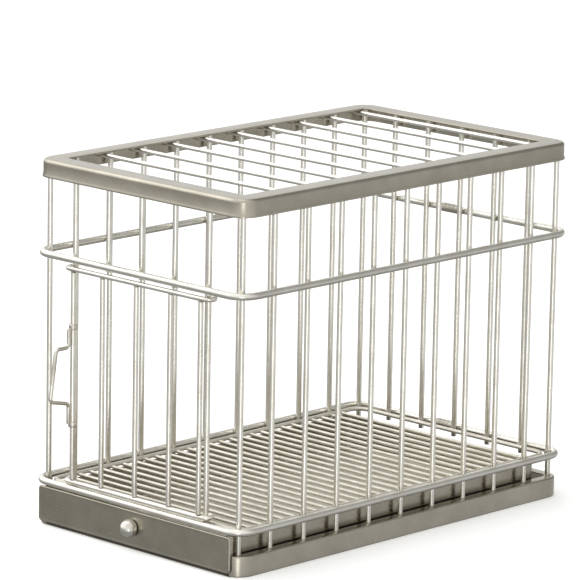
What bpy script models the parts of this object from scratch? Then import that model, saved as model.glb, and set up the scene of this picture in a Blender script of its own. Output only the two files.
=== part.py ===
"""Wire kennel cage: pressed top and base frames, round wire bars and hoops, a side-hung
wire door with a swinging pull, a floor grille, and a sheet drawer under the grille.

Metres, +Z up. The front, with the door and the drawer, faces -Y. The origin is on the
floor at the centre of the whole object's box.
"""

import math

import bmesh
import bpy
from mathutils import Matrix, Vector

MM = 0.001

# The bar grid. Each row of bars was set out on its own jig, so the pitches differ a little.
PITCH = 60 * MM
BAYS_ACROSS = 6
BAYS_DEEP = 10
HALF_WIDTH = PITCH * BAYS_ACROSS / 2
DEPTH = PITCH * BAYS_DEEP
HEIGHT = 484 * MM
SIDE_BAR_PITCH = 60.5 * MM
SIDE_BAR_FIRST = 56 * MM
REAR_BAR_PITCH = 61 * MM

# The pull stands out furthest at the front, the mid hoop's sleeve at the back.
PULL_REACH = 49.99 * MM
SLEEVE_REACH = 14.69 * MM
FRAME_OUTSET = 9 * MM
FRONT_Y = -(DEPTH + SLEEVE_REACH - PULL_REACH) / 2
BACK_Y = FRONT_Y + DEPTH
MIDDLE_Y = (FRONT_Y + BACK_Y) / 2

# Wire and sheet.
BAR_RADIUS = 3.6 * MM
HOOP_RADIUS = 4.7 * MM
ROOF_RADIUS = 3 * MM
DOOR_RADIUS = 3.4 * MM
BORDER_RADIUS = 3 * MM
GRILLE_RADIUS = 2.4 * MM
PULL_RADIUS = 2.6 * MM
SHEET = 1.5 * MM
SKIRT = 1.8 * MM
WELD_GAP = 0.3 * MM
TOP_ROLL = 4.5 * MM
TOP_INNER_ROLL = 2.7 * MM
BASE_ROLL = 1.5 * MM
BASE_LIP_ROLL = 2.2 * MM

# Levels.
TOP_SKIRT_FOOT = HEIGHT - 23.3 * MM
TOP_FLANGE_UNDER = HEIGHT - 2.5 * MM
BAR_TOP = TOP_FLANGE_UNDER - WELD_GAP
BASE_TOP = 27 * MM
MID_HOOP_Z = 361 * MM
FLOOR_HOOP_Z = 58 * MM
BORDER_Z = FLOOR_HOOP_Z - 1.5 * MM
CROSS_WIRE_Z = FLOOR_HOOP_Z - 3 * MM
JAMB_FOOT = FLOOR_HOOP_Z - HOOP_RADIUS - 1.5 * MM
SHORT_BAR_FOOT = MID_HOOP_Z - HOOP_RADIUS - 3 * MM
REAR_BAR_FOOT = FLOOR_HOOP_Z - HOOP_RADIUS - 6 * MM
DOOR_TOP_Z = 349 * MM
DOOR_FOOT_Z = 67 * MM

# Plan shape of the frames, hoops and grille border.
CORNER_RADIUS = 16 * MM
TIGHT_CORNER = 6 * MM
POST_INSET = 5 * MM
HOOP_OUTSET = BAR_RADIUS + HOOP_RADIUS + WELD_GAP
HOOP_CORNER = 25.5 * MM
BORDER_GAP = 0.5 * MM
BORDER_INSET = BAR_RADIUS + BORDER_RADIUS + BORDER_GAP
BORDER_CORNER = 18 * MM
FLANGE_REACH = 20 * MM
ROOF_OUTSET = 4 * MM
BASE_LIP_REACH = 5 * MM
RUNNER_REACH = 14 * MM
CORNER_STEPS = 6

# Floor grille: three cross wires to each bar pitch.
CROSS_PITCH = PITCH / 3
CROSS_FIRST = 16 * MM
CROSS_COUNT = 28

# Door: it hangs on the right jamb, in front of the jambs.
JAMB_X = 121.5 * MM
DOOR_Y = FRONT_Y - 8.6 * MM
DOOR_BAR_PITCH = 62 * MM
STILE_INSET = 5.5 * MM
HOOK_GAP = 1 * MM
HOOK_BEND = 6 * MM
HOOK_REACH = 1 * MM
EYE_GAP = 0.5 * MM
EYE_RADIUS = BAR_RADIUS + DOOR_RADIUS + EYE_GAP
EYE_RUN_IN = 14 * MM
EYE_TURN = range(-90, 166, 20)

# Pull: bent wire on two rolled eyes round the door's free stile, from its upper foot down.
PULL_UPPER_FOOT = 273 * MM
PULL_UPPER_LEG = 247 * MM
PULL_LOWER_LEG = 172.5 * MM
PULL_LOWER_RISE = 7 * MM
PULL_LOWER_FOOT = 144 * MM
PULL_STUB_OUT = 7.4 * MM
PULL_GRIP_TOP = 29.6 * MM
PULL_GRIP_FOOT = 39.6 * MM
PULL_EYE_BORE = 4 * MM
PULL_EYE_RADIUS = 5.6 * MM
PULL_EYE_HEIGHT = 7 * MM
PULL_BEND = 4.5 * MM

# Drawer.
PAN_HALF_WIDTH = HALF_WIDTH - 9 * MM
PAN_BACK_Y = FRONT_Y + 573 * MM
PAN_FOOT = 3 * MM
PAN_TOP = 52 * MM
PAN_WALL = 1.2 * MM
PAN_CORNER = 9 * MM
PLATE_HALF_WIDTH = HALF_WIDTH - 4 * MM
PLATE_THICKNESS = 2.5 * MM
PLATE_Y = FRONT_Y - 12.2 * MM
PLATE_TOP = 52.5 * MM
PLATE_FOOT = 4.5 * MM
PLATE_CORNER = 4 * MM
PLATE_EDGE = 0.7 * MM
FRONT_RAIL_TOP = 2.5 * MM
FRONT_CUT_GAP = 0.7 * MM
CUT_MARGIN = 1 * MM
KNOB_Z = 30.3 * MM
KNOB_RADIUS = 11.7 * MM
KNOB_CENTRE_OUT = 5.5 * MM
KNOB_COLLAR = 7.5 * MM
KNOB_COLLAR_HEIGHT = 1 * MM
STUD_RADIUS = 2.2 * MM
STUD_HOLE = 2.7 * MM
STUD_HEAD_RADIUS = 4.6 * MM
STUD_HEAD_TOP_RADIUS = 4 * MM
STUD_HEAD = 1.4 * MM
STUD_CUT = 10 * MM

# Crimped sleeves that close the two hoops, at the back.
FERRULE_X = -23 * MM
FERRULE_LENGTH = 34 * MM
FERRULE_WALL = 1.3 * MM
FERRULE_LIP = 0.8 * MM
FERRULE_TAPER = 2.5 * MM


def clear_scene():
    for old in list(bpy.data.objects):
        bpy.data.objects.remove(old, do_unlink=True)


def make_material(name, colour, roughness):
    material = bpy.data.materials.new(name)
    material.use_nodes = True
    shader = material.node_tree.nodes["Principled BSDF"]
    shader.inputs["Base Color"].default_value = (*colour, 1)
    shader.inputs["Metallic"].default_value = 1
    shader.inputs["Roughness"].default_value = roughness
    return material


def add_node(name, bm, material, origin=(0, 0, 0)):
    """A closed solid from a bmesh in world space, with its own origin point."""
    bmesh.ops.recalc_face_normals(bm, faces=bm.faces)
    bmesh.ops.translate(bm, verts=bm.verts, vec=-Vector(origin))
    mesh = bpy.data.meshes.new(name)
    bm.to_mesh(mesh)
    bm.free()
    mesh.shade_smooth()
    mesh.set_sharp_from_angle(angle=math.radians(50))
    mesh.materials.append(material)
    node = bpy.data.objects.new(name, mesh)
    node.location = origin
    bpy.context.scene.collection.objects.link(node)
    return node


def gather(name, place, nodes):
    """An empty on a joint's axis that carries the nodes, which stay where they are."""
    axis = bpy.data.objects.new(name, None)
    axis.location = place
    bpy.context.scene.collection.objects.link(axis)
    for node in nodes:
        node.parent = axis
        node.location -= Vector(place)
    return axis


def arc(centre, radius, start, end, steps=3):
    """Points of a round corner in a section, from one angle in degrees to another."""
    points = []
    for step in range(steps + 1):
        angle = math.radians(start + (end - start) * step / steps)
        points.append((centre[0] + radius * math.cos(angle), centre[1] + radius * math.sin(angle)))
    return points


def rounded_rectangle(half_x, half_y, radius, z, centre_y=MIDDLE_Y, steps=CORNER_STEPS):
    """Points anticlockwise round a rectangle with arcs at its corners."""
    points = []
    for quarter, (sx, sy) in enumerate(((1, 1), (-1, 1), (-1, -1), (1, -1))):
        centre = Vector((sx * (half_x - radius), centre_y + sy * (half_y - radius), z))
        for step in range(steps + 1):
            angle = math.radians(90 * (quarter + step / steps))
            points.append(centre + radius * Vector((math.cos(angle), math.sin(angle), 0)))
    return points


def bent_path(corners, bend, steps=4):
    """A polyline with each inner corner replaced by an arc of the bend radius."""
    points = [Vector(corners[0])]
    for before, corner, after in zip(corners, corners[1:], corners[2:]):
        corner = Vector(corner)
        inward = (Vector(before) - corner).normalized()
        outward = (Vector(after) - corner).normalized()
        half = inward.angle(outward) / 2
        centre = corner + (inward + outward).normalized() * bend / math.sin(half)
        start = corner + inward * bend / math.tan(half) - centre
        axis = inward.cross(outward).normalized()
        sweep = -(math.pi - 2 * half)
        for step in range(steps + 1):
            points.append(centre + Matrix.Rotation(sweep * step / steps, 3, axis) @ start)
    points.append(Vector(corners[-1]))
    return points


def sweep_wire(bm, points, radius, flat_normal, sides=8, closed=False):
    """Round wire along points that lie in one plane, mitred at each point."""
    count = len(points)
    flat_normal = Vector(flat_normal)
    rings = []
    for i, point in enumerate(points):
        before = points[i - 1] if closed or i > 0 else point
        after = points[(i + 1) % count] if closed or i < count - 1 else point
        arriving = (point - before).normalized() if before is not point else None
        leaving = (after - point).normalized() if after is not point else None
        tangent = ((arriving or leaving) + (leaving or arriving)).normalized()
        mitre = 1 / tangent.dot(arriving or leaving)
        across = tangent.cross(flat_normal).normalized() * mitre
        ring = []
        for side in range(sides):
            angle = 2 * math.pi * (side + 0.5) / sides
            offset = across * math.cos(angle) + flat_normal * math.sin(angle)
            ring.append(bm.verts.new(point + offset * radius))
        rings.append(ring)
    spans = count if closed else count - 1
    for i in range(spans):
        here, there = rings[i], rings[(i + 1) % count]
        for side in range(sides):
            after_side = (side + 1) % sides
            bm.faces.new((here[side], here[after_side], there[after_side], there[side]))
    if not closed:
        bm.faces.new(rings[0])
        bm.faces.new(rings[-1])


def add_bar(name, start, end, radius, material, sides=10):
    """A straight bar with its origin at its lower or left end."""
    start, end = Vector(start), Vector(end)
    bm = bmesh.new()
    side_on = Vector((0, 1, 0)) if abs((end - start).normalized().y) < 0.5 else Vector((0, 0, 1))
    sweep_wire(bm, [start, end], radius, side_on, sides=sides)
    return add_node(name, bm, material, origin=start)


def pressed_ring(profile, least_corner=TIGHT_CORNER):
    """A ring with the given section of (outset from the bar line, height) points."""
    bm = bmesh.new()
    rings = []
    for outset, z in profile:
        radius = max(CORNER_RADIUS + outset, least_corner)
        loop = rounded_rectangle(HALF_WIDTH + outset, DEPTH / 2 + outset, radius, z)
        rings.append([bm.verts.new(point) for point in loop])
    bridge(bm, rings, closed=True)
    return bm


def bridge(bm, rings, closed=False):
    """Quads, or triangles at a pole, between neighbouring rings of vertices."""
    following = rings[1:] + rings[:1] if closed else rings[1:]
    for here, there in zip(rings, following):
        count = max(len(here), len(there))
        for i in range(count):
            after = (i + 1) % count
            corners = [here[i % len(here)], here[after % len(here)]]
            corners += [there[after % len(there)], there[i % len(there)]]
            bm.faces.new(list(dict.fromkeys(corners)))


def turned(bm, profile, centre, axis, across, steps=16, closed=False):
    """A solid turned about an axis from (distance along it, radius) points."""
    centre, axis, across = Vector(centre), Vector(axis), Vector(across)
    beside = axis.cross(across)
    rings = []
    for along, radius in profile:
        ring = []
        for step in range(steps if radius else 1):
            angle = 2 * math.pi * (step + 0.5) / steps
            spoke = across * math.cos(angle) + beside * math.sin(angle)
            ring.append(bm.verts.new(centre + axis * along + spoke * radius))
        rings.append(ring)
    bridge(bm, rings, closed)


def add_box(bm, low, high):
    centre = (Vector(low) + Vector(high)) / 2
    size = Vector(high) - Vector(low)
    matrix = Matrix.Translation(centre) @ Matrix.Diagonal((*size, 1))
    bmesh.ops.create_cube(bm, size=1, matrix=matrix)


def boolean(node, tool, operation):
    """A Boolean that stays on the node. Its tool is a hidden helper."""
    tool.hide_render = True
    tool.display_type = "WIRE"
    modifier = node.modifiers.new(operation.title() + " " + tool.name, "BOOLEAN")
    modifier.operation = operation
    modifier.solver = "EXACT"
    modifier.object = tool


def add_top_frame(material):
    """L section: an upright skirt, a rolled edge and a flat flange."""
    inner = FRAME_OUTSET - SKIRT
    profile = [
        (FRAME_OUTSET, TOP_SKIRT_FOOT),
        *arc((FRAME_OUTSET - TOP_ROLL, HEIGHT - TOP_ROLL), TOP_ROLL, 0, 90),
        (-FLANGE_REACH, HEIGHT),
        (-FLANGE_REACH, TOP_FLANGE_UNDER),
        *arc((inner - TOP_INNER_ROLL, TOP_FLANGE_UNDER - TOP_INNER_ROLL), TOP_INNER_ROLL, 90, 0, steps=1),
        (inner, TOP_SKIRT_FOOT),
    ]
    return add_node("top_frame", pressed_ring(profile), material)


def add_base_frame(material):
    """C section open to the inside: the bars stand on its lip, the drawer on its runner.
    At the front only the low rail under the drawer joins its two wrapped corners."""
    inner = FRAME_OUTSET - SKIRT
    profile = [
        *arc((FRAME_OUTSET - BASE_ROLL, BASE_ROLL), BASE_ROLL, -90, 0),
        *arc((FRAME_OUTSET - BASE_LIP_ROLL, BASE_TOP - BASE_LIP_ROLL), BASE_LIP_ROLL, 0, 90, steps=2),
        (-BASE_LIP_REACH, BASE_TOP),
        (-BASE_LIP_REACH, BASE_TOP - SHEET),
        (inner, BASE_TOP - SHEET),
        (inner, SHEET),
        (-RUNNER_REACH, SHEET),
        (-RUNNER_REACH, 0),
    ]
    base = add_node("base_frame", pressed_ring(profile), material)
    half = PAN_HALF_WIDTH + FRONT_CUT_GAP
    front = FRONT_Y - FRAME_OUTSET - CUT_MARGIN
    back = FRONT_Y + CORNER_RADIUS + PLATE_CORNER
    bm = bmesh.new()
    add_box(bm, (-half, front, FRONT_RAIL_TOP), (half, back, BASE_TOP + CUT_MARGIN))
    boolean(base, add_node("drawer_way_cutter", bm, material), "DIFFERENCE")
    return base


def add_hoop(name, z, material):
    bm = bmesh.new()
    half_x = HALF_WIDTH + HOOP_OUTSET
    half_y = DEPTH / 2 + HOOP_OUTSET
    loop = rounded_rectangle(half_x, half_y, HOOP_CORNER, z)
    sweep_wire(bm, loop, HOOP_RADIUS, (0, 0, 1), closed=True)
    return add_node(name, bm, material)


def add_ferrule(name, z, material):
    """A crimped sleeve over the hoop's joint: a tube, so that the hoop passes through it."""
    bore = HOOP_RADIUS + WELD_GAP
    wall = bore + FERRULE_WALL
    half = FERRULE_LENGTH / 2
    section = [
        (-half, bore),
        (-half, bore + FERRULE_LIP),
        (FERRULE_TAPER - half, wall),
        (half - FERRULE_TAPER, wall),
        (half, bore + FERRULE_LIP),
        (half, bore),
    ]
    centre = (FERRULE_X, BACK_Y + HOOP_OUTSET, z)
    bm = bmesh.new()
    turned(bm, section, centre, (1, 0, 0), (0, 0, 1), steps=12, closed=True)
    return add_node(name, bm, material, origin=centre)


def add_walls(material):
    """Upright bars: four corner posts, then each wall's bars on the grid."""
    foot = BASE_TOP + WELD_GAP
    post_x = HALF_WIDTH - POST_INSET
    for side, sx in (("left", -1), ("right", 1)):
        for end, y in (("front", FRONT_Y + POST_INSET), ("rear", BACK_Y - POST_INSET)):
            name = f"corner_post_{end}_{side}"
            add_bar(name, (sx * post_x, y, foot), (sx * post_x, y, BAR_TOP), BAR_RADIUS, material)
        for number in range(1, BAYS_DEEP):
            x, y = sx * HALF_WIDTH, FRONT_Y + SIDE_BAR_FIRST + (number - 1) * SIDE_BAR_PITCH
            add_bar(f"{side}_bar_{number}", (x, y, foot), (x, y, BAR_TOP), BAR_RADIUS, material)
        x = sx * JAMB_X
        add_bar(f"door_jamb_{side}", (x, FRONT_Y, JAMB_FOOT), (x, FRONT_Y, BAR_TOP), BAR_RADIUS, material)
    for number in range(3):
        x = (number - 1) * PITCH
        name = f"front_short_bar_{number + 1}"
        add_bar(name, (x, FRONT_Y, SHORT_BAR_FOOT), (x, FRONT_Y, BAR_TOP), BAR_RADIUS, material)
    for number in range(1, BAYS_ACROSS):
        x = (number - BAYS_ACROSS / 2) * REAR_BAR_PITCH
        name = f"rear_bar_{number}"
        add_bar(name, (x, BACK_Y, REAR_BAR_FOOT), (x, BACK_Y, BAR_TOP), BAR_RADIUS, material)


def add_roof(material):
    """Roof bars, one over the middle of each bay, held under the top frame's flange."""
    reach = HALF_WIDTH + ROOF_OUTSET
    z = TOP_FLANGE_UNDER - WELD_GAP - ROOF_RADIUS
    for number in range(BAYS_DEEP):
        y = FRONT_Y + (number + 0.5) * PITCH
        add_bar(f"roof_bar_{number + 1}", (-reach, y, z), (reach, y, z), ROOF_RADIUS, material, sides=8)


def add_grille(material):
    """A rounded border wire with cross wires let into its underside."""
    half_x = HALF_WIDTH - BORDER_INSET
    bm = bmesh.new()
    loop = rounded_rectangle(half_x, DEPTH / 2 - BORDER_INSET, BORDER_CORNER, BORDER_Z)
    sweep_wire(bm, loop, BORDER_RADIUS, (0, 0, 1), closed=True)
    grille = add_node("floor_grille", bm, material)
    bm = bmesh.new()
    for number in range(CROSS_COUNT):
        y = FRONT_Y + CROSS_FIRST + number * CROSS_PITCH
        ends = [Vector((-half_x, y, CROSS_WIRE_Z)), Vector((half_x, y, CROSS_WIRE_Z))]
        sweep_wire(bm, ends, GRILLE_RADIUS, (0, 0, 1), sides=6)
    boolean(grille, add_node("cross_wires_helper", bm, material), "UNION")
    return grille


def door_wire_path(z):
    """From the bent end beside the free jamb, along the door, round the hinge jamb."""
    hook_x = -JAMB_X - BAR_RADIUS - HOOK_GAP - DOOR_RADIUS
    run_in = (JAMB_X - EYE_RUN_IN, DOOR_Y, z)
    points = bent_path([(hook_x, FRONT_Y + HOOK_REACH, z), (hook_x, DOOR_Y, z), run_in], HOOK_BEND)
    for degrees in EYE_TURN:
        angle = math.radians(degrees)
        spoke = Vector((math.cos(angle), math.sin(angle), 0))
        points.append(Vector((JAMB_X, FRONT_Y, z)) + EYE_RADIUS * spoke)
    return points


def add_door(material):
    """Two wires with five bars between them, on the hinge line of the right jamb."""
    hinge = Vector((JAMB_X, FRONT_Y, 0))
    parts = []
    for name, z in (("door_top_wire", DOOR_TOP_Z), ("door_bottom_wire", DOOR_FOOT_Z)):
        bm = bmesh.new()
        sweep_wire(bm, door_wire_path(z), DOOR_RADIUS, (0, 0, 1))
        parts.append(add_node(name, bm, material, origin=hinge + Vector((0, 0, z))))
    foot = DOOR_FOOT_Z + DOOR_RADIUS + WELD_GAP
    top = DOOR_TOP_Z - DOOR_RADIUS - WELD_GAP
    stile_x = JAMB_X - STILE_INSET
    bars = [("door_free_stile", -stile_x), ("door_hinge_stile", stile_x)]
    bars += [(f"door_bar_{number + 1}", (number - 1) * DOOR_BAR_PITCH) for number in range(3)]
    for name, x in bars:
        parts.append(add_bar(name, (x, DOOR_Y, foot), (x, DOOR_Y, top), DOOR_RADIUS, material))
    parts.append(add_pull(material))
    gather("door_hinge_axis", hinge, parts)


def add_pull(material):
    """The door's bent wire pull, which turns about the free stile."""
    axis_x, axis_y = STILE_INSET - JAMB_X, DOOR_Y
    levels = (
        (PULL_STUB_OUT, PULL_UPPER_FOOT - PULL_EYE_HEIGHT / 4),
        (PULL_STUB_OUT, PULL_UPPER_LEG),
        (PULL_GRIP_TOP, PULL_UPPER_LEG),
        (PULL_GRIP_FOOT, PULL_LOWER_LEG + PULL_LOWER_RISE),
        (PULL_STUB_OUT, PULL_LOWER_LEG),
        (PULL_STUB_OUT, PULL_LOWER_FOOT + PULL_EYE_HEIGHT / 4),
    )
    corners = [Vector((axis_x, axis_y - out, z)) for out, z in levels]
    bm = bmesh.new()
    sweep_wire(bm, bent_path(corners, PULL_BEND), PULL_RADIUS, (1, 0, 0))
    origin = (axis_x, axis_y, (PULL_UPPER_FOOT + PULL_LOWER_FOOT) / 2)
    pull = add_node("door_pull", bm, material, origin=origin)
    for place, z in (("upper", PULL_UPPER_FOOT), ("lower", PULL_LOWER_FOOT)):
        half = PULL_EYE_HEIGHT / 2
        section = [
            (-half, PULL_EYE_BORE),
            (-half, PULL_EYE_RADIUS),
            (half, PULL_EYE_RADIUS),
            (half, PULL_EYE_BORE),
        ]
        bm = bmesh.new()
        turned(bm, section, (axis_x, axis_y, z), (0, 0, 1), (1, 0, 0), steps=12, closed=True)
        boolean(pull, add_node(f"pull_{place}_eye_helper", bm, material), "UNION")
    return pull


def add_drawer(sheet, wire):
    """A folded tray, a front plate a little proud of the base, and a turned knob."""
    pan_front = PLATE_Y + PLATE_THICKNESS + WELD_GAP
    centre_y = (pan_front + PAN_BACK_Y) / 2
    half_y = (PAN_BACK_Y - pan_front) / 2
    section = (
        (0, PAN_FOOT),
        (0, PAN_TOP),
        (PAN_WALL, PAN_TOP),
        (PAN_WALL, PAN_FOOT + PAN_WALL),
    )
    bm = bmesh.new()
    rings = []
    for inset, z in section:
        half_x = PAN_HALF_WIDTH - inset
        radius = PAN_CORNER - inset
        loop = rounded_rectangle(half_x, half_y - inset, radius, z, centre_y, steps=4)
        rings.append([bm.verts.new(point) for point in loop])
    bridge(bm, rings)
    bm.faces.new(rings[0])
    bm.faces.new(rings[-1])
    pan = add_node("drawer_pan", bm, sheet, origin=(0, centre_y, PAN_FOOT))

    bm = bmesh.new()
    add_box(
        bm,
        (-PLATE_HALF_WIDTH, PLATE_Y, PLATE_FOOT),
        (PLATE_HALF_WIDTH, PLATE_Y + PLATE_THICKNESS, PLATE_TOP),
    )
    upright = [e for e in bm.edges if abs((e.verts[0].co - e.verts[1].co).normalized().y) > 0.9]
    bmesh.ops.bevel(bm, geom=upright, offset=PLATE_CORNER, segments=3, affect="EDGES", profile=0.5)
    face = [e for e in bm.edges if all(abs(v.co.y - PLATE_Y) < 1e-6 for v in e.verts)]
    bmesh.ops.bevel(bm, geom=face, offset=PLATE_EDGE, segments=1, affect="EDGES", profile=0.5)
    plate = add_node("drawer_front", bm, sheet, origin=(0, PLATE_Y, PLATE_FOOT))

    knob_place = (0, PLATE_Y, KNOB_Z)
    forward, up = (0, -1, 0), (0, 0, 1)
    hole = [(-STUD_CUT, 0), (-STUD_CUT, STUD_HOLE), (STUD_CUT, STUD_HOLE), (STUD_CUT, 0)]
    bm = bmesh.new()
    turned(bm, hole, knob_place, forward, up, steps=12)
    cutter = add_node("stud_hole_cutter", bm, sheet)
    boolean(pan, cutter, "DIFFERENCE")
    boolean(plate, cutter, "DIFFERENCE")

    inside = -(PLATE_THICKNESS + WELD_GAP + PAN_WALL + WELD_GAP)
    dome_start = -math.degrees(math.asin((KNOB_CENTRE_OUT - KNOB_COLLAR_HEIGHT) / KNOB_RADIUS))
    dome = arc((0, KNOB_CENTRE_OUT), KNOB_RADIUS, dome_start, 78, steps=7)
    profile = [
        (inside - STUD_HEAD, 0),
        (inside - STUD_HEAD, STUD_HEAD_TOP_RADIUS),
        (inside, STUD_HEAD_RADIUS),
        (inside, STUD_RADIUS),
        (WELD_GAP, STUD_RADIUS),
        (WELD_GAP, KNOB_COLLAR),
        (KNOB_COLLAR_HEIGHT, KNOB_COLLAR),
        *[(along, across) for across, along in dome],
        (KNOB_CENTRE_OUT + KNOB_RADIUS, 0),
    ]
    bm = bmesh.new()
    turned(bm, profile, knob_place, forward, up)
    knob = add_node("drawer_knob", bm, wire, origin=knob_place)
    gather("drawer_slide_axis", (0, centre_y, PAN_FOOT), [pan, plate, knob])


def main():
    clear_scene()
    sheet = make_material("nickel_plated_sheet", (0.42, 0.41, 0.38), 0.42)
    wire = make_material("nickel_plated_wire", (0.6, 0.59, 0.56), 0.28)
    add_top_frame(sheet)
    add_base_frame(sheet)
    add_hoop("mid_hoop", MID_HOOP_Z, wire)
    add_hoop("floor_hoop", FLOOR_HOOP_Z, wire)
    add_ferrule("mid_hoop_ferrule", MID_HOOP_Z, wire)
    add_ferrule("floor_hoop_ferrule", FLOOR_HOOP_Z, wire)
    add_walls(wire)
    add_roof(wire)
    add_grille(wire)
    add_door(wire)
    add_drawer(sheet, wire)


main()
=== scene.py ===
import math
import random

import bmesh
import bpy
from mathutils import Matrix, Vector
from mathutils import noise


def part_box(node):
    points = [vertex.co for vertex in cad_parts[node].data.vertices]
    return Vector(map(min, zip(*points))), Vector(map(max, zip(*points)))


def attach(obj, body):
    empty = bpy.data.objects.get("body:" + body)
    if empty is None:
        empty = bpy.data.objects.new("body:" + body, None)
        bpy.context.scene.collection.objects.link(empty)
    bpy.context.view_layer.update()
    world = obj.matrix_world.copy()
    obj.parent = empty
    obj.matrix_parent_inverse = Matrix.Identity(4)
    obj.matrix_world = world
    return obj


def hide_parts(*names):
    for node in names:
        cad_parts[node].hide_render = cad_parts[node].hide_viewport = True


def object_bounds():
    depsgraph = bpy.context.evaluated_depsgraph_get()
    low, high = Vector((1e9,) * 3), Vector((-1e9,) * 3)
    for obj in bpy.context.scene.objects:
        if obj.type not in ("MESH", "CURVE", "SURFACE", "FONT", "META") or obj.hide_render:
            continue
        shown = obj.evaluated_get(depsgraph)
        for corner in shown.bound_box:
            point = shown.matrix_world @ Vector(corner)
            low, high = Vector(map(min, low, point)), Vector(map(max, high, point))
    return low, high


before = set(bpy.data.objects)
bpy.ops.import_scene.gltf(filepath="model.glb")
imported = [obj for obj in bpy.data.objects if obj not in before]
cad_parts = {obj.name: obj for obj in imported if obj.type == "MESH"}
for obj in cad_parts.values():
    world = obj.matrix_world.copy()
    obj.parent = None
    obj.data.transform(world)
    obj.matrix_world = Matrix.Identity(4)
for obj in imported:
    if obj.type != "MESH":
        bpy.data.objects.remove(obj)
cadLow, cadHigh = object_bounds()
print("frame loaded:", len(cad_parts), "solids")


# sRGB hex to the linear colour that sockets hold
def paint(hexText):
    channels = [int(hexText[i:i + 2], 16) / 255 for i in (1, 3, 5)]
    linear = [c / 12.92 if c <= 0.04045 else ((c + 0.055) / 1.055) ** 2.4 for c in channels]
    return (*linear, 1)


# Adds a node; links go by input name or number, settings are the node's own properties
def addNode(tree, kind, links=None, **settings):
    node = tree.nodes.new(kind)
    for name, value in settings.items():
        setattr(node, name, value)
    for socket, source in (links or {}).items():
        if isinstance(source, bpy.types.NodeSocket):
            tree.links.new(source, node.inputs[socket])
        else:
            node.inputs[socket].default_value = source
    return node


# Gives a piece its finish and its body, and hides the solids it stands for
def settle(piece, finish, body, nodes=()):
    if finish and not piece.data.materials:
        piece.data.materials.append(finish)
    piece.data.shade_smooth()
    piece.data.set_sharp_from_angle(angle=math.radians(38))
    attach(piece, body)
    if nodes:
        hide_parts(*nodes)
    return piece


def centreOf(node):
    low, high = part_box(node)
    return (low + high) / 2


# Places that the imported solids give
barLineX = centreOf("right_bar_1").x
frontY = centreOf("door_jamb_left").y
backY = centreOf("rear_bar_3").y
middleY = (frontY + backY) / 2
doorY = centreOf("door_free_stile").y
topZ = cadHigh.z
hoopZ = {"mid_hoop": centreOf("mid_hoop").z, "floor_hoop": centreOf("floor_hoop").z}

# Wire radii, in metres
gauge = {"bar": 0.0036, "hoop": 0.0047, "roof": 0.003, "grille": 0.0024, "border": 0.003, "door": 0.0034,
         "pull": 0.0026}


def startFinish(name):
    material = bpy.data.materials.new(name)
    material.use_nodes = True
    tree = material.node_tree
    shader = tree.nodes["Principled BSDF"]
    shader.inputs["Metallic"].default_value = 1
    return material, tree, shader


# Satin nickel plated steel wire: drawn, welded, then plated. The eye sees a soft bright line down
# each wire, slow cloudy patches, and duller rings where the welding heat got to it.
def satinNickelWire(name, look):
    material, tree, shader = startFinish(name)
    place = addNode(tree, "ShaderNodeTexCoord")
    cloud = addNode(tree, "ShaderNodeTexNoise", {
        "Vector": place.outputs["Object"], "Scale": 1 / look["cloudSize"], "Detail": 3, "Roughness": 0.55})
    tone = addNode(tree, "ShaderNodeValToRGB", {"Fac": cloud.outputs["Fac"]})
    tone.color_ramp.elements[0].position = 0.3
    tone.color_ramp.elements[0].color = paint(look["dull"])
    tone.color_ramp.elements[1].position = 0.68
    tone.color_ramp.elements[1].color = paint(look["bright"])
    speck = addNode(tree, "ShaderNodeTexNoise", {
        "Vector": place.outputs["Object"], "Scale": 1 / look["speckSize"], "Detail": 2, "Roughness": 0.6})
    speckTone = addNode(tree, "ShaderNodeMapRange", {
        "Value": speck.outputs["Fac"], "From Min": 0.35, "From Max": 0.7, "To Min": 0.975, "To Max": 1.01})
    # duller rings at the heights where the hoops are welded on
    height = addNode(tree, "ShaderNodeSeparateXYZ", {"Vector": place.outputs["Object"]})
    level = addNode(tree, "ShaderNodeMath", {0: height.outputs["Z"], 1: topZ}, operation="DIVIDE")
    heat = addNode(tree, "ShaderNodeValToRGB", {"Fac": level.outputs["Value"]})
    ramp = heat.color_ramp
    ramp.elements[0].color = (1, 1, 1, 1)
    ramp.elements[1].color = (1, 1, 1, 1)
    for mark in look["weldLevels"]:
        for away, shade in ((-look["weldReach"], 1), (0, look["weldShade"]), (look["weldReach"], 1)):
            stop = ramp.elements.new((mark + away) / topZ)
            stop.color = (shade, shade, shade * look["weldWarmth"], 1)
    spotted = addNode(tree, "ShaderNodeMix", {
        "Factor": 1.0, 6: tone.outputs["Color"], 7: speckTone.outputs["Result"]}, data_type="RGBA",
        blend_type="MULTIPLY")
    tinted = addNode(tree, "ShaderNodeMix", {
        "Factor": 1.0, 6: spotted.outputs[2], 7: heat.outputs["Color"]}, data_type="RGBA",
        blend_type="MULTIPLY")
    tree.links.new(tinted.outputs[2], shader.inputs["Base Color"])
    low, high = look["roughness"]
    sheen = addNode(tree, "ShaderNodeMapRange", {
        "Value": cloud.outputs["Fac"], "From Min": 0.3, "From Max": 0.7, "To Min": high, "To Max": low})
    tree.links.new(sheen.outputs["Result"], shader.inputs["Roughness"])
    bump = addNode(tree, "ShaderNodeBump", {
        "Height": speck.outputs["Fac"], "Strength": look["bump"], "Distance": look["bumpDepth"]})
    tree.links.new(bump.outputs["Normal"], shader.inputs["Normal"])
    return material


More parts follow.
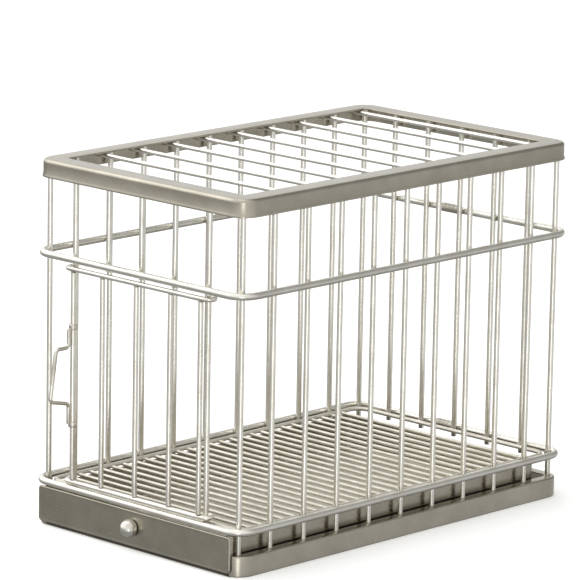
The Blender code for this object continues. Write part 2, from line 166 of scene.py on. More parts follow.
# Brushed nickel plated sheet: cold rolled steel, folded or pressed, brushed lengthways and plated.
# The eye sees a dull warm grey with faint lines along the sheet, soft blotches and a few scuffs.
def brushedNickelSheet(name, look):
    material, tree, shader = startFinish(name)
    place = addNode(tree, "ShaderNodeTexCoord")
    alongSheet = addNode(tree, "ShaderNodeMapping", {
        "Vector": place.outputs["UV"], "Scale": (1 / look["lineLength"], 1 / look["lineWidth"], 1)})
    lines = addNode(tree, "ShaderNodeTexNoise", {
        "Vector": alongSheet.outputs["Vector"], "Scale": 1, "Detail": 4, "Roughness": 0.65})
    cloud = addNode(tree, "ShaderNodeTexNoise", {
        "Vector": place.outputs["Object"], "Scale": 1 / look["cloudSize"], "Detail": 4,
        "Roughness": 0.6})
    tone = addNode(tree, "ShaderNodeValToRGB", {"Fac": cloud.outputs["Fac"]})
    tone.color_ramp.elements[0].position = 0.32
    tone.color_ramp.elements[0].color = paint(look["dull"])
    tone.color_ramp.elements[1].position = 0.7
    tone.color_ramp.elements[1].color = paint(look["bright"])
    lineTone = addNode(tree, "ShaderNodeMapRange", {
        "Value": lines.outputs["Fac"], "From Min": 0.3, "From Max": 0.7, "To Min": look["lineShade"],
        "To Max": 1})
    lined = addNode(tree, "ShaderNodeMix", {
        "Factor": 1.0, 6: tone.outputs["Color"], 7: lineTone.outputs["Result"]}, data_type="RGBA",
        blend_type="MULTIPLY")
    scuffPlace = addNode(tree, "ShaderNodeMapping", {
        "Vector": place.outputs["Object"], "Rotation": look["scuffTurn"], "Scale": look["scuffScale"]})
    scuff = addNode(tree, "ShaderNodeTexNoise", {
        "Vector": scuffPlace.outputs["Vector"], "Scale": 1, "Detail": 2, "Roughness": 0.5})
    scuffMask = addNode(tree, "ShaderNodeMapRange", {
        "Value": scuff.outputs["Fac"], "From Min": 0.66, "From Max": 0.72, "To Min": 0,
        "To Max": look["scuff"]})
    scuffed = addNode(tree, "ShaderNodeMix", {
        "Factor": scuffMask.outputs["Result"], 6: lined.outputs[2], 7: paint(look["scuffTone"])},
        data_type="RGBA")
    tree.links.new(scuffed.outputs[2], shader.inputs["Base Color"])
    low, high = look["roughness"]
    sheen = addNode(tree, "ShaderNodeMapRange", {
        "Value": lines.outputs["Fac"], "From Min": 0.3, "From Max": 0.7, "To Min": high, "To Max": low})
    tree.links.new(sheen.outputs["Result"], shader.inputs["Roughness"])
    fine = addNode(tree, "ShaderNodeBump", {
        "Height": lines.outputs["Fac"], "Strength": look["bump"], "Distance": look["bumpDepth"]})
    dent = addNode(tree, "ShaderNodeTexNoise", {
        "Vector": place.outputs["Object"], "Scale": 1 / look["dentSize"], "Detail": 1})
    wavy = addNode(tree, "ShaderNodeBump", {
        "Height": dent.outputs["Fac"], "Strength": 1.0, "Distance": look["dentDepth"],
        "Normal": fine.outputs["Normal"]})
    tree.links.new(wavy.outputs["Normal"], shader.inputs["Normal"])
    return material


wireLook = {"bright": "#f3f0ea", "dull": "#e2dfd6", "cloudSize": 0.03, "speckSize": 0.0016,
            "roughness": (0.24, 0.28), "bump": 0.004, "weldLevels": (0.058, 0.361), "weldShade": 0.9,
            "weldReach": 0.0063, "weldWarmth": 0.98, "bumpDepth": 0.0002}
grilleLook = dict(wireLook, bright="#e6e2d8", dull="#d6d2c6", roughness=(0.48, 0.56), weldLevels=())
pullLook = dict(wireLook, bright="#e9e5dc", dull="#c2bdb0", cloudSize=0.03, weldLevels=())
weldLook = dict(wireLook, bright="#b5b0a4", dull="#8b867b", roughness=(0.4, 0.55), speckSize=0.0009,
                bump=0.2, weldLevels=())
sleeveLook = dict(wireLook, bright="#c4bfb3", dull="#a29d91", roughness=(0.34, 0.46), weldLevels=())
knobLook = dict(wireLook, bright="#e4e1d8", dull="#cfccc2", cloudSize=0.008, roughness=(0.2, 0.26),
                weldLevels=())
frameLook = {"bright": "#b9b4a6", "dull": "#aaa597", "lineLength": 0.04, "lineWidth": 0.0006,
             "cloudSize": 0.045, "lineShade": 0.94, "scuff": 0.2, "scuffTone": "#c6c2b5",
             "roughness": (0.22, 0.3), "bump": 0.04,
             "bumpDepth": 0.0002, "dentSize": 0.06, "dentDepth": 0.0003, "scuffTurn": (0.4, 0.3, 0.7),
             "scuffScale": (30, 260, 260)}
# the rail's dark tones are painted shade, for the shadow that falls under the drawer plate
railPaintedShadeLook = dict(frameLook, bright="#807b70", dull="#6c685e", scuff=0.0)
# the tray floor's light tones are painted light, for the light that falls through the grille onto it
trayFloorPaintedLightLook = dict(frameLook, bright="#dedacd", dull="#cdc9bb", roughness=(0.5, 0.6), scuff=0.0)
drawerLook = dict(frameLook, bright="#b0ab9d", dull="#a09b8d", dentSize=0.09, dentDepth=0.0004, scuff=0.25)

wireFinish = satinNickelWire("satinNickelPlatedWire", wireLook)
grilleFinish = satinNickelWire("satinNickelPlatedGrilleWire", grilleLook)
pullFinish = satinNickelWire("handRubbedNickelPlatedWire", pullLook)
weldFinish = satinNickelWire("platedResistanceWeld", weldLook)
sleeveFinish = satinNickelWire("crimpedNickelPlatedSleeve", sleeveLook)
knobFinish = satinNickelWire("turnedSatinNickelKnob", knobLook)
frameFinish = brushedNickelSheet("brushedNickelPlatedSheet", frameLook)
# painted shade: the rail's finish is darkened to stand for the shadow under the drawer plate
railPaintedShadeFinish = brushedNickelSheet("nickelPlatedRailPaintedShade", railPaintedShadeLook)
# painted light: the tray floor's finish is brightened to stand for light falling through the grille
trayFloorPaintedLightFinish = brushedNickelSheet("nickelPlatedTrayFloorPaintedLight", trayFloorPaintedLightLook)
drawerFinish = brushedNickelSheet("foldedNickelPlatedSheet", drawerLook)
print("finishes made")


def newTree(name, sockets):
    tree = bpy.data.node_groups.new(name, "GeometryNodeTree")
    tree.is_modifier = True
    tree.interface.new_socket(name="Geometry", in_out="INPUT", socket_type="NodeSocketGeometry")
    for label, kind in sockets:
        tree.interface.new_socket(name=label, in_out="INPUT", socket_type=kind)
    tree.interface.new_socket(name="Geometry", in_out="OUTPUT", socket_type="NodeSocketGeometry")
    return tree, tree.nodes.new("NodeGroupInput")


# Every tree ends in plain geometry with its finish set
def endTree(tree, source, geometry):
    real = addNode(tree, "GeometryNodeRealizeInstances", {0: geometry})
    finished = addNode(tree, "GeometryNodeSetMaterial", {
        "Geometry": real.outputs[0], "Material": source.outputs["Finish"]})
    addNode(tree, "NodeGroupOutput", {0: finished.outputs[0]})
    return tree


# Runs a tree on a guide mesh and keeps the result as a plain mesh
def grow(name, guide, tree, values):
    piece = bpy.data.objects.new(name, guide)
    bpy.context.scene.collection.objects.link(piece)
    modifier = piece.modifiers.new(tree.name, "NODES")
    modifier.node_group = tree
    for item in tree.interface.items_tree:
        if item.in_out == "INPUT" and item.name in values:
            modifier[item.identifier] = values[item.name]
    graph = bpy.context.evaluated_depsgraph_get()
    made = bpy.data.meshes.new_from_object(piece.evaluated_get(graph))
    piece.modifiers.clear()
    piece.data = made
    made.name = name
    return piece


# Round wire swept along each chain of edges, thinner where the chain's taper says so
def makeWireTree():
    tree, source = newTree("wireAlongPath", [
        ("Wire Radius", "NodeSocketFloat"), ("Sides", "NodeSocketInt"), ("Finish", "NodeSocketMaterial")])
    path = addNode(tree, "GeometryNodeMeshToCurve", {"Mesh": source.outputs["Geometry"]})
    taper = addNode(tree, "GeometryNodeInputNamedAttribute", {"Name": "taper"}, data_type="FLOAT")
    section = addNode(tree, "GeometryNodeCurvePrimitiveCircle", {
        "Resolution": source.outputs["Sides"], "Radius": source.outputs["Wire Radius"]})
    wire = addNode(tree, "GeometryNodeCurveToMesh", {
        "Curve": path.outputs["Curve"], "Profile Curve": section.outputs["Curve"],
        "Scale": taper.outputs["Attribute"], "Fill Caps": True})
    return endTree(tree, source, wire.outputs["Mesh"])


# Squashed weld metal at each guide point: flat along its facing, as wide as its width says
def makeWeldTree():
    tree, source = newTree("weldNuggets", [
        ("Thickness", "NodeSocketFloat"), ("Unevenness", "NodeSocketFloat"), ("Seed", "NodeSocketInt"),
        ("Finish", "NodeSocketMaterial")])
    drop = addNode(tree, "GeometryNodeMeshUVSphere", {"Segments": 10, "Rings": 6, "Radius": 1})
    facing = addNode(tree, "GeometryNodeInputNamedAttribute", {"Name": "facing"},
                     data_type="FLOAT_VECTOR")
    width = addNode(tree, "GeometryNodeInputNamedAttribute", {"Name": "width"}, data_type="FLOAT")
    turn = addNode(tree, "FunctionNodeAlignRotationToVector", {"Vector": facing.outputs["Attribute"]},
                   axis="Z")
    least = addNode(tree, "ShaderNodeMath", {0: 1.0, 1: source.outputs["Unevenness"]}, operation="SUBTRACT")
    spread = addNode(tree, "FunctionNodeRandomValue", {
        2: least.outputs["Value"], 3: 1.0, "Seed": source.outputs["Seed"]}, data_type="FLOAT")
    wide = addNode(tree, "ShaderNodeMath", {
        0: width.outputs["Attribute"], 1: spread.outputs[1]}, operation="MULTIPLY")
    size = addNode(tree, "ShaderNodeCombineXYZ", {
        "X": wide.outputs["Value"], "Y": wide.outputs["Value"], "Z": source.outputs["Thickness"]})
    drops = addNode(tree, "GeometryNodeInstanceOnPoints", {
        "Points": source.outputs["Geometry"], "Instance": drop.outputs["Mesh"],
        "Rotation": turn.outputs["Rotation"], "Scale": size.outputs["Vector"]})
    return endTree(tree, source, drops.outputs["Instances"])


# A row of equal cross wires from one end of the guide to the other
def makeGrilleTree():
    tree, source = newTree("crossWires", [
        ("Count", "NodeSocketInt"), ("First", "NodeSocketVector"), ("Step", "NodeSocketVector"),
        ("Half Length", "NodeSocketFloat"), ("Wire Radius", "NodeSocketFloat"), ("Sides", "NodeSocketInt"),
        ("Sag", "NodeSocketFloat"), ("Sag Length", "NodeSocketFloat"), ("Finish", "NodeSocketMaterial")])
    row = addNode(tree, "GeometryNodeMeshLine", {
        "Count": source.outputs["Count"], "Start Location": source.outputs["First"],
        "Offset": source.outputs["Step"]}, mode="OFFSET")
    back = addNode(tree, "ShaderNodeMath", {0: source.outputs["Half Length"], 1: -1.0}, operation="MULTIPLY")
    leftEnd = addNode(tree, "ShaderNodeCombineXYZ", {"X": back.outputs["Value"]})
    rightEnd = addNode(tree, "ShaderNodeCombineXYZ", {"X": source.outputs["Half Length"]})
    run = addNode(tree, "GeometryNodeCurvePrimitiveLine", {
        "Start": leftEnd.outputs["Vector"], "End": rightEnd.outputs["Vector"]})
    fine = addNode(tree, "GeometryNodeResampleCurve", {"Curve": run.outputs["Curve"], "Count": 25})
    section = addNode(tree, "GeometryNodeCurvePrimitiveCircle", {
        "Resolution": source.outputs["Sides"], "Radius": source.outputs["Wire Radius"]})
    wire = addNode(tree, "GeometryNodeCurveToMesh", {
        "Curve": fine.outputs["Curve"], "Profile Curve": section.outputs["Curve"], "Fill Caps": True})
    wires = addNode(tree, "GeometryNodeInstanceOnPoints", {
        "Points": row.outputs["Mesh"], "Instance": wire.outputs["Mesh"]})
    real = addNode(tree, "GeometryNodeRealizeInstances", {0: wires.outputs["Instances"]})
    place = addNode(tree, "GeometryNodeInputPosition")
    density = addNode(tree, "ShaderNodeMath", {0: 1.0, 1: source.outputs["Sag Length"]}, operation="DIVIDE")
    waver = addNode(tree, "ShaderNodeTexNoise", {
        "Vector": place.outputs["Position"], "Scale": density.outputs["Value"], "Detail": 0.0},
        noise_dimensions="3D")
    middle = addNode(tree, "ShaderNodeMath", {0: waver.outputs["Fac"], 1: 0.5}, operation="SUBTRACT")
    lift = addNode(tree, "ShaderNodeMath", {
        0: middle.outputs["Value"], 1: source.outputs["Sag"]}, operation="MULTIPLY")
    shift = addNode(tree, "ShaderNodeCombineXYZ", {"Y": lift.outputs["Value"], "Z": lift.outputs["Value"]})
    uneven = addNode(tree, "GeometryNodeSetPosition", {
        "Geometry": real.outputs[0], "Offset": shift.outputs["Vector"]})
    return endTree(tree, source, uneven.outputs[0])


wireTree = makeWireTree()
weldTree = makeWeldTree()
grilleTree = makeGrilleTree()
print("node trees made")


# Points anticlockwise round a rectangle with round corners, with extra points down its sides
def roundedLoop(halfX, halfY, radius, z, centreY=middleY, cornerSteps=10, sideSteps=1):
    corners = []
    for quarter, (signX, signY) in enumerate(((1, 1), (-1, 1), (-1, -1), (1, -1))):
        centre = Vector((signX * (halfX - radius), centreY + signY * (halfY - radius), z))
        arc = []
        for step in range(cornerSteps + 1):
            angle = math.radians(90 * (quarter + step / cornerSteps))
            arc.append(centre + radius * Vector((math.cos(angle), math.sin(angle), 0)))
        corners.append(arc)
    points = []
    for arc, following in zip(corners, corners[1:] + corners[:1]):
        points += arc
        for step in range(1, sideSteps):
            points.append(arc[-1].lerp(following[0], step / sideSteps))
    return points


# Points of a round corner in a section, from one angle in degrees to another
def arcPoints(centre, radius, start, end, steps=6):
    points = []
    for step in range(steps + 1):
        angle = math.radians(start + (end - start) * step / steps)
        points.append((centre[0] + radius * math.cos(angle), centre[1] + radius * math.sin(angle)))
    return points


# A path with each inner corner bent to the given radius
def bentPath(corners, bend, steps=8):
    points = [Vector(corners[0])]
    for before, corner, after in zip(corners, corners[1:], corners[2:]):
        corner = Vector(corner)
        inward = (Vector(before) - corner).normalized()
        outward = (Vector(after) - corner).normalized()
        half = inward.angle(outward) / 2
        centre = corner + (inward + outward).normalized() * bend / math.sin(half)
        start = corner + inward * bend / math.tan(half) - centre
        axis = inward.cross(outward).normalized()
        sweep = 2 * half - math.pi
        for step in range(steps + 1):
            points.append(centre + Matrix.Rotation(sweep * step / steps, 3, axis) @ start)
    points.append(Vector(corners[-1]))
    return points


# Path points with a taper for each: both cut ends are rounded off
def roundEnds(points, radius, endRound=0.0008, steps=4):
    points = [Vector(p) for p in points]
    ends = []
    for end, following in ((points[0], points[1]), (points[-1], points[-2])):
        inward = (following - end).normalized()
        cap = []
        for step in range(steps + 1):
            angle = math.pi / 2 * step / steps
            place = end + inward * endRound * (1 - math.cos(angle))
            cap.append((place, (radius - endRound + endRound * math.sin(angle)) / radius))
        ends.append(cap)
    middle = [(place, 1) for place in points[1:-1]]
    return ends[0] + middle + ends[1][::-1]


# The guide for the wire tree: chains of edges, each point with its taper
def wireGuide(name, chains, closed=False):
    places = [place for chain in chains for place, taper in chain]
    tapers = [taper for chain in chains for place, taper in chain]
    edges = []
    base = 0
    for chain in chains:
        edges += [(base + i, base + i + 1) for i in range(len(chain) - 1)]
        if closed:
            edges.append((base + len(chain) - 1, base))
        base += len(chain)
    guide = bpy.data.meshes.new(name)
    guide.from_pydata(places, edges, [])
    guide.attributes.new("taper", "FLOAT", "POINT").data.foreach_set("value", tapers)
    return guide


def makeWires(name, chains, radius, finish, body, nodes, sides=20, closed=False):
    guide = wireGuide(name, chains, closed)
    piece = grow(name, guide, wireTree, {"Wire Radius": radius, "Sides": sides, "Finish": finish})
    return settle(piece, finish, body, nodes)


# A closed sheet from rows of points. Its UV runs down the sheet's length, then over its section.
def gridShell(name, rows, wrapRows=False, capAxes=None, lengthDownRows=True):
    bm = bmesh.new()
    uvLayer = bm.loops.layers.uv.new("sheetUv")
    grid = [[bm.verts.new(point) for point in row] for row in rows]
    rowCount, columnCount = len(rows), len(rows[0])
    downRows = [0]
    for i in range(rowCount):
        downRows.append(downRows[-1] + (rows[(i + 1) % rowCount][0] - rows[i][0]).length)
    overColumns = [0]
    for j in range(columnCount):
        overColumns.append(overColumns[-1] + (rows[0][(j + 1) % columnCount] - rows[0][j]).length)
    for i in range(rowCount if wrapRows else rowCount - 1):
        for j in range(columnCount):
            corners = ((i, j), (i + 1, j), (i + 1, j + 1), (i, j + 1))
            face = bm.faces.new([grid[a % rowCount][b % columnCount] for a, b in corners])
            for loop, (a, b) in zip(face.loops, corners):
                spot = (downRows[a], overColumns[b])
                loop[uvLayer].uv = spot if lengthDownRows else spot[::-1]
    if not wrapRows:
        for row in (grid[0], grid[-1]):
            face = bm.faces.new(row)
            for loop in face.loops:
                loop[uvLayer].uv = tuple(loop.vert.co[axis] for axis in capAxes)
    bmesh.ops.recalc_face_normals(bm, faces=bm.faces)
    mesh = bpy.data.meshes.new(name)
    bm.to_mesh(mesh)
    bm.free()
    piece = bpy.data.objects.new(name, mesh)
    bpy.context.scene.collection.objects.link(piece)
    return piece


# Pressed sheet is never quite flat: it moves each point by a smooth, slow unevenness
def ripple(point, size, depth, seed):
    place = point / size + Vector((seed, seed * 2, seed * 3))
    return point + depth * Vector((noise.noise(place), noise.noise(place.yzx), 0))


# A solid turned about an axis, from (along, radius) points
def turnedShell(name, profile, centre, axis, across, steps=32, closed=False):
    centre, axis, across = Vector(centre), Vector(axis), Vector(across)
    beside = axis.cross(across)
    bm = bmesh.new()
    rings = []
    for along, radius in profile:
        ring = []
        for step in range(steps if radius else 1):
            angle = 2 * math.pi * (step + 0.5) / steps
            spoke = across * math.cos(angle) + beside * math.sin(angle)
            ring.append(bm.verts.new(centre + axis * along + spoke * radius))
        rings.append(ring)
    following = rings[1:] + rings[:1] if closed else rings[1:]
    for here, there in zip(rings, following):
        for i in range(steps):
            corners = [here[i % len(here)], here[(i + 1) % steps % len(here)]]
            corners += [there[(i + 1) % steps % len(there)], there[i % len(there)]]
            bm.faces.new(list(dict.fromkeys(corners)))
    bmesh.ops.recalc_face_normals(bm, faces=bm.faces)
    mesh = bpy.data.meshes.new(name)
    bm.to_mesh(mesh)
    bm.free()
    piece = bpy.data.objects.new(name, mesh)
    bpy.context.scene.collection.objects.link(piece)
    return piece


pressing = {"outset": 0.009, "skirt": 0.0018, "sheet": 0.0015, "corner": 0.016, "tight": 0.006,
            "topRoll": 0.0045, "topInnerRoll": 0.0027, "skirtHeight": 0.0233, "topSheet": 0.0025,
            "flangeReach": 0.02, "lipRound": 0.0007, "baseTop": 0.027, "baseRoll": 0.0015,
            "baseLipRoll": 0.0022, "baseLipReach": 0.005, "runnerReach": 0.014, "railTop": 0.0025,
            "railSetBack": 0.0015, "railEdge": 0.0008, "wayHalf": 0.1717, "footOut": 0.0011,
            "footRise": 0.0052, "rippleSize": 0.07, "rippleDepth": 0.0002, "rippleSeed": 1.7}


# Rows of section points round the cage, from (outset, height) section points
def ringRows(section, sideSteps=24):
    loops = []
    for outset, z in section:
        radius = max(pressing["corner"] + outset, pressing["tight"])
        loops.append(roundedLoop(barLineX + outset, (backY - frontY) / 2 + outset, radius, z,
                                 sideSteps=sideSteps))
    rows = [list(row) for row in zip(*loops)]
    wave = pressing["rippleSize"], pressing["rippleDepth"], pressing["rippleSeed"]
    return [[ripple(point, *wave) for point in row] for row in rows]


def makeTopFrame():
    p = pressing
    outer, inner = p["outset"], p["outset"] - p["skirt"]
    foot, r = topZ - p["skirtHeight"], p["lipRound"]
    under = topZ - p["topSheet"]
    reach = -p["flangeReach"]
    section = [
        *arcPoints((outer + p["footOut"] - r, foot + r), r, -90, 0, 4),
        (outer + 0.7 * p["footOut"], foot + 0.5 * p["footRise"]),
        (outer, foot + p["footRise"]),
        *arcPoints((outer - p["topRoll"], topZ - p["topRoll"]), p["topRoll"], 0, 90, 8),
        *arcPoints((reach + r, topZ - r), r, 90, 180, 4),
        *arcPoints((reach + r, under + r), r, 180, 270, 3),
        *arcPoints((inner - p["topInnerRoll"], under - p["topInnerRoll"]), p["topInnerRoll"], 90, 0, 5),
        *arcPoints((inner + r, foot + r), r, 180, 270, 3),
    ]
    piece = gridShell("topFrame", ringRows(section), wrapRows=True)
    return settle(piece, frameFinish, "cage", ["top_frame"])


# C section round the sides and the back, wrapped round the front corners
def makeBaseFrame():
    p = pressing
    outer, inner = p["outset"], p["outset"] - p["skirt"]
    top, sheet, r = p["baseTop"], p["sheet"], p["lipRound"]
    section = [
        *arcPoints((outer - p["baseRoll"], p["baseRoll"]), p["baseRoll"], -90, 0, 6),
        *arcPoints((outer - p["baseLipRoll"], top - p["baseLipRoll"]), p["baseLipRoll"], 0, 90, 6),
        *arcPoints((-p["baseLipReach"] + r, top - r), r, 90, 180, 4),
        (-p["baseLipReach"], top - sheet),
        *arcPoints((inner - r, top - sheet - r), r, 90, 0, 3),
        *arcPoints((inner - r, sheet + r), r, 0, -90, 3),
        (-p["runnerReach"], sheet),
        (-p["runnerReach"], 0),
    ]
    rows = ringRows(section)
    wayHalf = p["wayHalf"]
    # the loop starts at the right rear corner; turn it to start at the front opening
    outside = 8  # a section point on the outer face
    front = [i for i, row in enumerate(rows)
             if row[outside].y < frontY and abs(row[outside].x) < wayHalf]
    rows = rows[front[-1] + 1:] + rows[:front[0]]
    ends = []
    for row, side in ((rows[0], 1), (rows[-1], -1)):
        ends.append([Vector((side * wayHalf, point.y, point.z)) for point in row])
    rows = [ends[0]] + rows + [ends[1]]
    shell = gridShell("baseFrame", rows, capAxes=(1, 2))
    return settle(shell, frameFinish, "cage", ["base_frame"])


# The low rail between the base's front corners: its dark colour is painted shade, standing in for the shadow
# under the drawer plate
def makeFrontRail():
    p = pressing
    front, back = frontY - p["outset"] + p["railSetBack"], frontY + p["runnerReach"]
    top, edge = p["railTop"], p["railEdge"]
    rail = [(front, 0), (front, top - edge), (front + edge, top), (back, top - p["sheet"] / 2), (back, 0)]
    steps = 30
    rows = []
    for step in range(steps + 1):
        x = (p["wayHalf"] + edge) * (1 - 2 * step / steps)
        rows.append([Vector((x, y, z)) for y, z in rail])
    piece = gridShell("frontRail", rows, capAxes=(1, 2))
    return settle(piece, railPaintedShadeFinish, "cage", ["base_frame"])


makeTopFrame()
makeBaseFrame()
makeFrontRail()
print("frames pressed")

chance = random.Random(11)  # how far each bar stands off true
wireShape = {"hoopOutset": 0.0086, "hoopCorner": 0.0255, "borderInset": 0.0071, "borderCorner": 0.018,
             "weldBite": 0.0004, "lean": 0.0003}


# A bar where its solid stands, reaching into its welds, a little off true
def barChain(node, axis, radius):
    low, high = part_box(node)
    start, end = centreOf(node), centreOf(node)
    start[axis], end[axis] = low[axis] - wireShape["weldBite"], high[axis] + wireShape["weldBite"]
    across = [i for i in range(3) if i != axis]
    middle = (start + end) / 2
    for i in across:
        middle[i] += chance.uniform(-wireShape["lean"], wireShape["lean"])
    return roundEnds([start, start.lerp(middle, 0.5), middle, middle.lerp(end, 0.5), end], radius)


rows = {
    "cornerPosts": [f"corner_post_{end}_{side}" for end in ("front", "rear") for side in ("left", "right")],
    "doorJambs": ["door_jamb_left", "door_jamb_right"],
    "frontShortBars": [f"front_short_bar_{n}" for n in range(1, 4)],
    "rearBars": [f"rear_bar_{n}" for n in range(1, 6)],
    "leftBars": [f"left_bar_{n}" for n in range(1, 10)],
    "rightBars": [f"right_bar_{n}" for n in range(1, 10)],
}
for name, nodes in rows.items():
    chains = [barChain(node, 2, gauge["bar"]) for node in nodes]
    makeWires(name, chains, gauge["bar"], wireFinish, "cage", nodes)

roofNodes = [f"roof_bar_{n}" for n in range(1, 11)]
makeWires("roofBars", [barChain(node, 0, gauge["roof"]) for node in roofNodes], gauge["roof"], wireFinish,
          "cage", roofNodes, sides=16)

for node, name in (("mid_hoop", "midHoop"), ("floor_hoop", "floorHoop")):
    out = wireShape["hoopOutset"]
    loop = roundedLoop(barLineX + out, (backY - frontY) / 2 + out, wireShape["hoopCorner"], hoopZ[node],
                       cornerSteps=14, sideSteps=8)
    makeWires(name, [[(place, 1) for place in loop]], gauge["hoop"], wireFinish, "cage", [node],
              closed=True)

# floor grille: a border wire and cross wires let into its underside
grille = {"first": 0.016, "pitch": 0.02, "count": 28, "drop": 0.003, "borderDrop": 0.0015,
          "sag": 0.0005, "sagLength": 1 / 14}
inset = wireShape["borderInset"]
halfGrille = barLineX - inset
borderLoop = roundedLoop(halfGrille, (backY - frontY) / 2 - inset, wireShape["borderCorner"],
                         hoopZ["floor_hoop"] - grille["borderDrop"], cornerSteps=12, sideSteps=8)
border = grow("grilleBorder", wireGuide("grilleBorder", [[(place, 1) for place in borderLoop]], closed=True),
              wireTree, {"Wire Radius": gauge["border"], "Sides": 18, "Finish": grilleFinish})
crossZ = hoopZ["floor_hoop"] - grille["drop"]
cross = grow("grilleWires", bpy.data.meshes.new("grilleGuide"), grilleTree, {
    "Count": grille["count"], "First": (0, frontY + grille["first"], crossZ), "Step": (0, grille["pitch"], 0),
    "Half Length": halfGrille, "Wire Radius": gauge["grille"], "Sides": 14, "Sag": grille["sag"],
    "Sag Length": grille["sagLength"], "Finish": grilleFinish})
settle(border, grilleFinish, "cage", ["floor_grille"])
settle(cross, grilleFinish, "cage", ["floor_grille"])
print("cage wires made")

# Crimped sleeves that close the hoops
sleeve = {"bore": 0.0046, "wall": 0.0061, "lip": 0.0054, "taper": 0.0025, "crimps": (-0.007, 0, 0.007),
          "crimpDepth": 0.0007, "crimpHalf": 0.0016}


def makeSleeve(name, node):
    low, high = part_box(node)
    centre, half = centreOf(node), (high.x - low.x) / 2
    s = sleeve
    profile = [(-half, s["bore"]), (-half, s["lip"]), (s["taper"] - half, s["wall"])]
    for crimp in s["crimps"]:
        for step in range(-4, 5):
            along = crimp + s["crimpHalf"] * step / 4
            profile.append((along, s["wall"] - s["crimpDepth"] * (0.5 + 0.5 * math.cos(math.pi * step / 4))))
    profile += [(half - s["taper"], s["wall"]), (half, s["lip"]), (half, s["bore"])]
    piece = turnedShell(name, profile, centre, (1, 0, 0), (0, 0, 1), closed=True)
    return settle(piece, sleeveFinish, "cage", [node])


makeSleeve("midHoopSleeve", "mid_hoop_ferrule")
makeSleeve("floorHoopSleeve", "floor_hoop_ferrule")

jambX = centreOf("door_jamb_right").x
doorShape = {"hookGap": 0.001, "hookBend": 0.006, "hookReach": 0.001, "eyeGap": 0.0005, "eyeRunIn": 0.014}


# From the bent end beside the free jamb, along the door, round the hinge jamb
def doorWirePath(z):
    d = doorShape
    hookX = -jambX - gauge["bar"] - d["hookGap"] - gauge["door"]
    eye = gauge["bar"] + gauge["door"] + d["eyeGap"]
    corners = [(hookX, frontY + d["hookReach"], z), (hookX, doorY, z), (jambX - d["eyeRunIn"], doorY, z)]
    points = bentPath(corners, d["hookBend"])
    start = Vector((jambX, frontY - eye, z))
    for step in range(1, 4):
        points.append(points[-1].lerp(start, step / 4))
    for degrees in range(-90, 151, 8):
        angle = math.radians(degrees)
        points.append(Vector((jambX + eye * math.cos(angle), frontY + eye * math.sin(angle), z)))
    return points


for name, node in (("doorTopWire", "door_top_wire"), ("doorBottomWire", "door_bottom_wire")):
    chain = roundEnds(doorWirePath(centreOf(node).z), gauge["door"])
    makeWires(name, [chain], gauge["door"], wireFinish, "door", [node])
doorBars = ["door_free_stile", "door_bar_1", "door_bar_2", "door_bar_3", "door_hinge_stile"]
makeWires("doorBars", [barChain(node, 2, gauge["door"]) for node in doorBars], gauge["door"], wireFinish,
          "door", doorBars)

# The pull: bent wire whose feet are rolled round the free stile
pullShape = {"stub": 0.0074, "gripTop": 0.0296, "gripFoot": 0.0396, "upperFoot": 0.273, "upperLeg": 0.247,
             "lowerLeg": 0.1725, "lowerRise": 0.007, "lowerFoot": 0.144, "bend": 0.006, "eyeBore": 0.0036,
             "eyeOuter": 0.0056, "eyeHalf": 0.0035, "eyeRound": 0.0006}


def makePull():
    p = pullShape
    stileX = centreOf("door_free_stile").x
    levels = [(p["stub"], p["upperFoot"] - p["eyeHalf"] / 2), (p["stub"], p["upperLeg"]),
              (p["gripTop"], p["upperLeg"]), (p["gripFoot"], p["lowerLeg"] + p["lowerRise"]),
              (p["stub"], p["lowerLeg"]), (p["stub"], p["lowerFoot"] + p["eyeHalf"] / 2)]
    corners = [Vector((stileX, doorY - out, z)) for out, z in levels]
    chain = roundEnds(bentPath(corners, p["bend"]), gauge["pull"])
    makeWires("doorPull", [chain], gauge["pull"], pullFinish, "pull", ["door_pull"])
    for name, z in (("pullUpperEye", p["upperFoot"]), ("pullLowerEye", p["lowerFoot"])):
        r, half = p["eyeRound"], p["eyeHalf"]
        profile = [(-half, p["eyeBore"])]
        profile += [(-half + r + r * math.sin(a), p["eyeOuter"] - r + r * math.cos(a))
                    for a in (math.radians(d) for d in range(-90, 1, 30))]
        profile += [(half - r + r * math.sin(a), p["eyeOuter"] - r + r * math.cos(a))
                    for a in (math.radians(d) for d in range(0, 91, 30))]
        profile.append((half, p["eyeBore"]))
        piece = turnedShell(name, profile, (stileX, doorY, z), (0, 0, 1), (1, 0, 0), steps=28, closed=True)
        settle(piece, pullFinish, "pull", ["door_pull"])


makePull()
print("door hung")

drawer = {"halfWidth": barLineX - 0.009, "back": frontY + 0.573, "foot": 0.003, "top": 0.052, "wall": 0.0012,
          "corner": 0.009, "footRound": 0.0025, "hem": 0.0022, "hemHeight": 0.006, "gap": 0.0003,
          "plateHalf": barLineX - 0.004, "plateThick": 0.0025, "plateCorner": 0.005, "plateRoll": 0.0019,
          "rippleSize": 0.09, "rippleDepth": 0.0004, "rippleSeed": 4.1}


